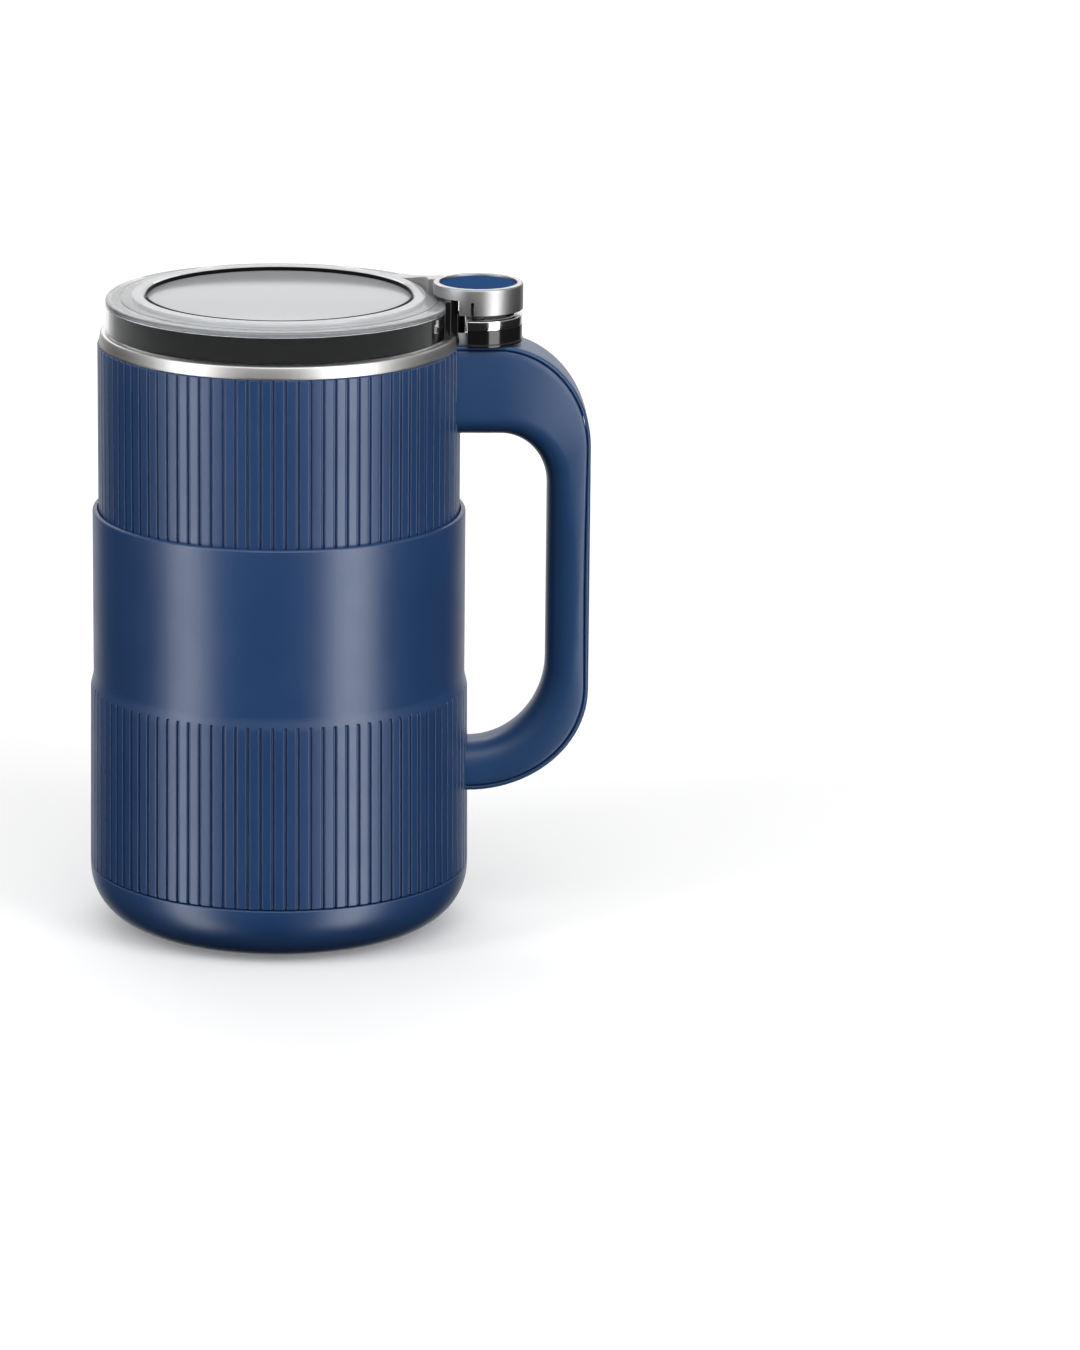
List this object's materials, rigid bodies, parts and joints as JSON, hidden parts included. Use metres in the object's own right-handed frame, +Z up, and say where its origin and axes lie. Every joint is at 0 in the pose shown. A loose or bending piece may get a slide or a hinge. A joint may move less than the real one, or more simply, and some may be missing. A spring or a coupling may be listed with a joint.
{
  "type": "electric grain mill",
  "caption": "Handled electric grain mill: fluted cylindrical body, steel cup with rotating blades, clear lift-off lid with black seal, and a push button on the lid's ear.",
  "frame": {"origin": "body axis in the plane of the foot ring's underside, so at table height", "axes": "+Z up along the body axis, +X towards the handle, +Y towards the mains inlet at the back"},
  "size_m": [0.1695, 0.1296, 0.2225],
  "materials": {
    "housing_blue": "satin moulded ABS",
    "button_blue": "satin moulded ABS",
    "black_rubber": "matt silicone",
    "black_plastic": "smooth black ABS",
    "clear_plastic": "clear moulded",
    "silver_plastic": "satin plated ABS",
    "bright_chrome": "polished plate",
    "rim_steel": "brushed stainless steel",
    "blade_steel": "ground stainless steel",
    "bearing_steel": "ground",
    "zinc_screws": "zinc plated",
    "silicon_steel": "stamped laminations",
    "copper_wire": "enamelled copper",
    "cast_alloy": "die cast",
    "brass_sheet": "stamped brass",
    "carbon": "pressed carbon",
    "natural_nylon": "moulded nylon",
    "board_green": "solder masked laminate",
    "film_yellow": "moulded film capacitor",
    "lead_brown": "PVC insulation"
  },
  "bodies": {
    "root": {"foot_ring": "black_rubber", "base_cover": "housing_blue", "base_screws": "zinc_screws", "lower_housing": "housing_blue", "upper_housing": "housing_blue", "rim_ring": "rim_steel", "grinding_cup": "rim_steel", "cup_gasket": "black_rubber", "cup_screws": "blade_steel", "shaft_seal": "black_rubber", "motor_plate": "black_plastic", "motor_dampers": "black_rubber", "motor_mount_screws": "zinc_screws", "motor_bracket_top": "cast_alloy", "motor_bracket_bottom": "cast_alloy", "motor_bolts": "zinc_screws", "stator_core": "silicon_steel", "field_coils": "copper_wire", "brush_holders": "brass_sheet", "carbon_brushes": "carbon", "brush_springs": "bearing_steel", "bearing_outer_rings": "bearing_steel", "bearing_balls": "bearing_steel", "thermal_cutout": "film_yellow", "control_board": "board_green", "capacitor": "film_yellow", "mains_inlet": "black_plastic", "inlet_pins": "brass_sheet", "mains_leads": "lead_brown", "handle_frame": "housing_blue", "handle_cover": "housing_blue", "handle_screws": "zinc_screws", "switch_post": "black_plastic", "post_ring": "bright_chrome", "post_plate": "black_plastic", "micro_switch": "black_plastic", "switch_leads": "lead_brown"},
    "rotor": {"motor_shaft": "blade_steel", "armature_core": "silicon_steel", "armature_windings": "copper_wire", "commutator": "copper_wire", "cooling_fan": "natural_nylon", "bearing_inner_rings": "bearing_steel", "blade_spacer": "blade_steel", "lower_blade": "blade_steel", "upper_blade": "blade_steel", "blade_washer": "blade_steel", "blade_nut": "blade_steel"},
    "lid": {"lid_shell": "clear_plastic", "lid_window": "clear_plastic", "lid_bezel": "clear_plastic", "lid_seal": "black_rubber", "lid_ear": "silver_plastic", "ear_bracket": "black_plastic", "ear_floor": "black_plastic"},
    "button": {"button_cap": "button_blue", "button_clip": "bearing_steel", "button_spring": "bearing_steel"},
    "switch_pin": {"switch_pin": "natural_nylon"}
  },
  "joints": [
    {"name": "rotor_spin", "type": "hinge", "parent": "root", "child": "rotor", "pos_m": [0, 0, 0.1], "axis": [0, 0, 1], "continuous": true},
    {"name": "lid_lift", "type": "slide", "parent": "root", "child": "lid", "axis": [0, 0, 1], "range_m": [0, 0.06]},
    {"name": "button_press", "type": "slide", "parent": "lid", "child": "button", "axis": [0, 0, -1], "range_m": [0, 0.0025], "stiffness_N_per_m": 500, "springref_m": -0.002, "deforming": ["button_spring"]},
    {"name": "switch_pin_travel", "type": "slide", "parent": "root", "child": "switch_pin", "axis": [0, 0, -1], "range_m": [0, 0.0025]}
  ],
  "couplings": [
    {"joint": "switch_pin_travel", "follows": "button_press", "ratio": 1}
  ]
}
